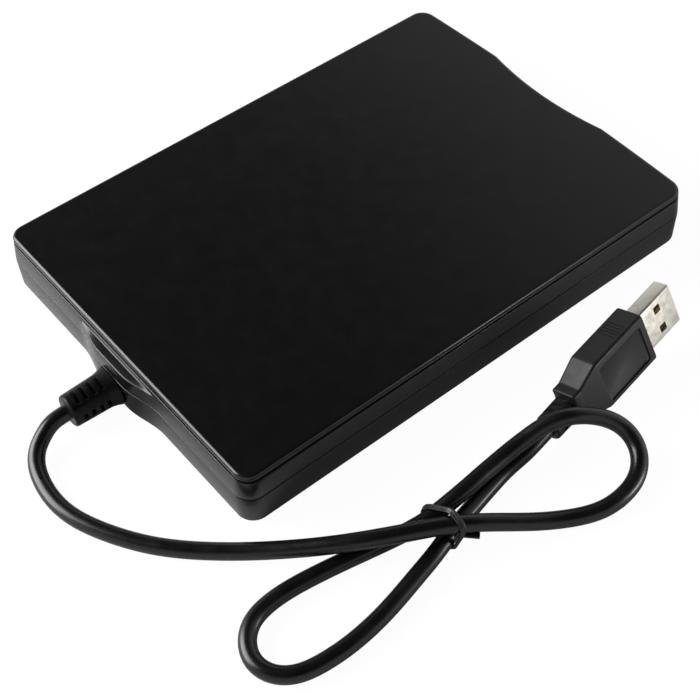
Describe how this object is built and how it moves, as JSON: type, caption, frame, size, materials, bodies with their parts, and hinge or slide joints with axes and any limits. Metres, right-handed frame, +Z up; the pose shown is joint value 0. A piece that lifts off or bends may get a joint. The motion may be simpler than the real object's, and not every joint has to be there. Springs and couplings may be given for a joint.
{
  "type": "external floppy disk drive",
  "caption": "Slim portable floppy disk drive: flat black case with a sprung slot door, eject button, disk mechanism, strain relief and tied cable with its plug.",
  "frame": {"origin": "middle of the case's footprint, on the table under the feet", "axes": "+Z up through the case's flat top, -Y out of the disk slot, +Y where the cable leaves, X across the case"},
  "size_m": [0.1556, 0.1771, 0.0187],
  "materials": {
    "case_black": "satin, fine texture",
    "trim_black": "satin",
    "rubber_black": "matte",
    "cable_black": "satin",
    "sheet_steel": "rolled",
    "zinc_plate": "dull",
    "nickel_plate": "satin",
    "brass": "turned",
    "gold_plate": "bright",
    "copper": "wound",
    "board_green": "solder mask",
    "chip_black": "matte",
    "white_plastic": "moulded",
    "grey_plastic": "moulded",
    "clear_green": "clear",
    "flex_orange": "film"
  },
  "bodies": {
    "case": {"top_cover": "case_black", "bottom_cover": "case_black", "front_bezel": "trim_black", "plug_grip": "trim_black", "cord_tie": "trim_black", "foot_front_left": "rubber_black", "foot_front_right": "rubber_black", "foot_rear_left": "rubber_black", "foot_rear_right": "rubber_black", "strain_relief": "rubber_black", "cord": "cable_black", "inner_cable": "cable_black", "drive_chassis": "sheet_steel", "drive_lid": "sheet_steel", "guide_rail": "sheet_steel", "screw_bracket": "sheet_steel", "lever_pivot": "sheet_steel", "case_screw_left": "zinc_plate", "case_screw_right": "zinc_plate", "drive_screw_left": "zinc_plate", "drive_screw_right": "zinc_plate", "stepper_motor": "zinc_plate", "plug_shell": "nickel_plate", "crystal": "nickel_plate", "spindle_bearing": "brass", "plug_contact_1": "gold_plate", "plug_contact_2": "gold_plate", "plug_contact_3": "gold_plate", "plug_contact_4": "gold_plate", "stator": "copper", "motor_board": "board_green", "control_board": "board_green", "interface_board": "board_green", "control_chip": "chip_black", "interface_chip": "chip_black", "activity_led": "white_plastic", "plug_tongue": "white_plastic", "control_socket": "white_plastic", "interface_socket": "white_plastic", "cable_header": "white_plastic", "activity_lens": "clear_green", "ribbon_cable": "flex_orange"},
    "dust_door": {"dust_door": "trim_black", "dust_door_spring": "sheet_steel"},
    "eject_slide": {"eject_slider": "sheet_steel", "eject_button": "grey_plastic", "eject_spring": "sheet_steel"},
    "disk_carrier": {"disk_carrier": "sheet_steel"},
    "spindle": {"rotor": "zinc_plate", "spindle_hub": "nickel_plate", "drive_pin": "sheet_steel"},
    "lead_screw": {"lead_screw": "sheet_steel", "stepper_rotor": "zinc_plate"},
    "head_carriage": {"head_carriage": "grey_plastic", "lower_head": "chip_black"},
    "head_arm": {"head_arm": "sheet_steel", "upper_head": "chip_black"},
    "ejector_lever": {"ejector_lever": "sheet_steel"}
  },
  "joints": [
    {"name": "dust_door_hinge", "type": "hinge", "parent": "case", "child": "dust_door", "pos_m": [0, -0.06708, 0.0146], "axis": [-1, 0, 0], "range_deg": [-88, 0], "stiffness_Nm_per_rad": 0.0002, "springref_deg": 22.92},
    {"name": "eject_slide_travel", "type": "slide", "parent": "case", "child": "eject_slide", "axis": [0, -1, 0], "range_m": [0, 0.0055]},
    {"name": "carrier_drop", "type": "slide", "parent": "case", "child": "disk_carrier", "axis": [0, 0, -1], "range_m": [0, 0.0024]},
    {"name": "spindle_turn", "type": "hinge", "parent": "case", "child": "spindle", "pos_m": [0, -0.01838, 0.007], "axis": [0, 0, 1], "continuous": true},
    {"name": "lead_screw_turn", "type": "hinge", "parent": "case", "child": "lead_screw", "pos_m": [0.014, 0.04682, 0.0089], "axis": [0, 1, 0], "range_deg": [0, 1800]},
    {"name": "carriage_travel", "type": "slide", "parent": "case", "child": "head_carriage", "axis": [0, -1, 0], "range_m": [0, 0.015]},
    {"name": "head_arm_hinge", "type": "hinge", "parent": "head_carriage", "child": "head_arm", "pos_m": [0, 0.04587, 0.0133], "axis": [1, 0, 0], "range_deg": [0, 11]},
    {"name": "ejector_lever_pivot", "type": "hinge", "parent": "case", "child": "ejector_lever", "pos_m": [-0.034, 0.03512, 0.0102], "axis": [0, 0, -1], "range_deg": [0, 35]}
  ],
  "couplings": [
    {"joint": "carrier_drop", "follows": "eject_slide_travel", "ratio": 0.43636},
    {"joint": "head_arm_hinge", "follows": "eject_slide_travel", "rad_per_m": 34.907},
    {"joint": "lead_screw_turn", "follows": "carriage_travel", "rad_per_m": 2094.4}
  ]
}
